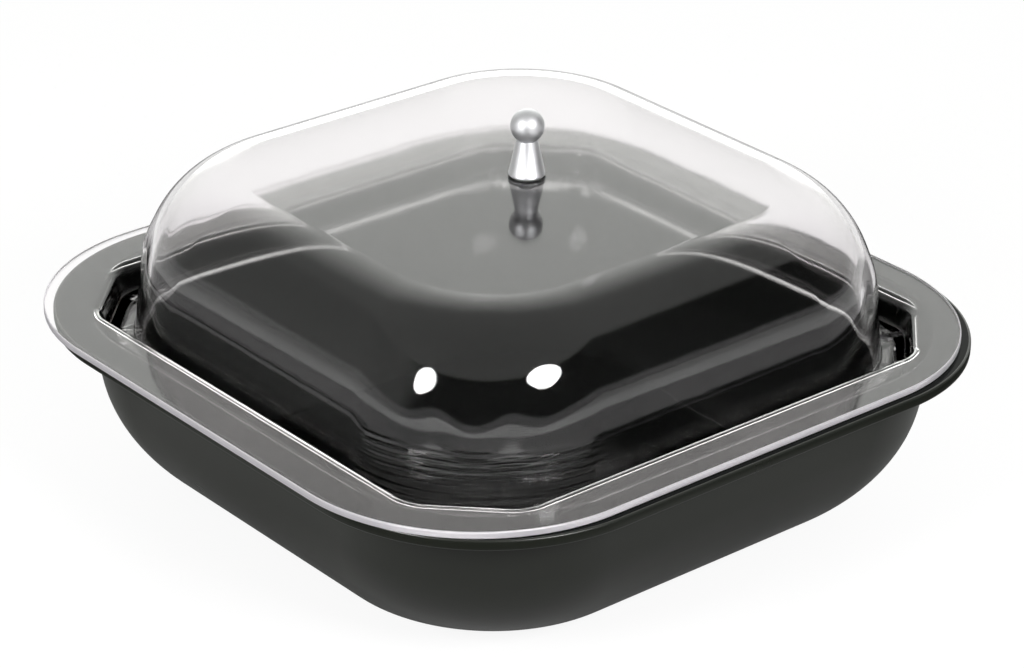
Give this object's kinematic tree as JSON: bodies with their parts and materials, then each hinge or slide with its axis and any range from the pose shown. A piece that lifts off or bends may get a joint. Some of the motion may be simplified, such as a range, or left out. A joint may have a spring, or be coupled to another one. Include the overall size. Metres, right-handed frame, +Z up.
{
  "type": "covered square tray",
  "caption": "Deep square tray with a flat rim and a clear square dome cover that lifts off by a turned ball knob.",
  "frame": {"origin": "middle of the tray's flat base, on the surface it stands on", "axes": "+Z up, X and Y along the tray's sides"},
  "size_m": [0.3233, 0.3226, 0.1704],
  "materials": {
    "tray_plastic": "satin moulded black",
    "clear_cover": "clear polished acrylic sheet",
    "clear_seal": "clear silicone",
    "knob_metal": "satin turned",
    "soft_seal": "matte black",
    "screw_steel": "plain stainless"
  },
  "bodies": {
    "tray": {"tray": "tray_plastic"},
    "cover": {"dome_cover": "clear_cover", "knob_seal": "clear_seal", "knob_cone": "knob_metal", "knob_ball": "knob_metal", "inner_seal": "soft_seal", "inner_washer": "screw_steel", "knob_screw": "screw_steel"}
  },
  "joints": [
    {"name": "cover_lift", "type": "slide", "parent": "tray", "child": "cover", "axis": [0, 0, 1], "range_m": [0, 0.15]}
  ]
}
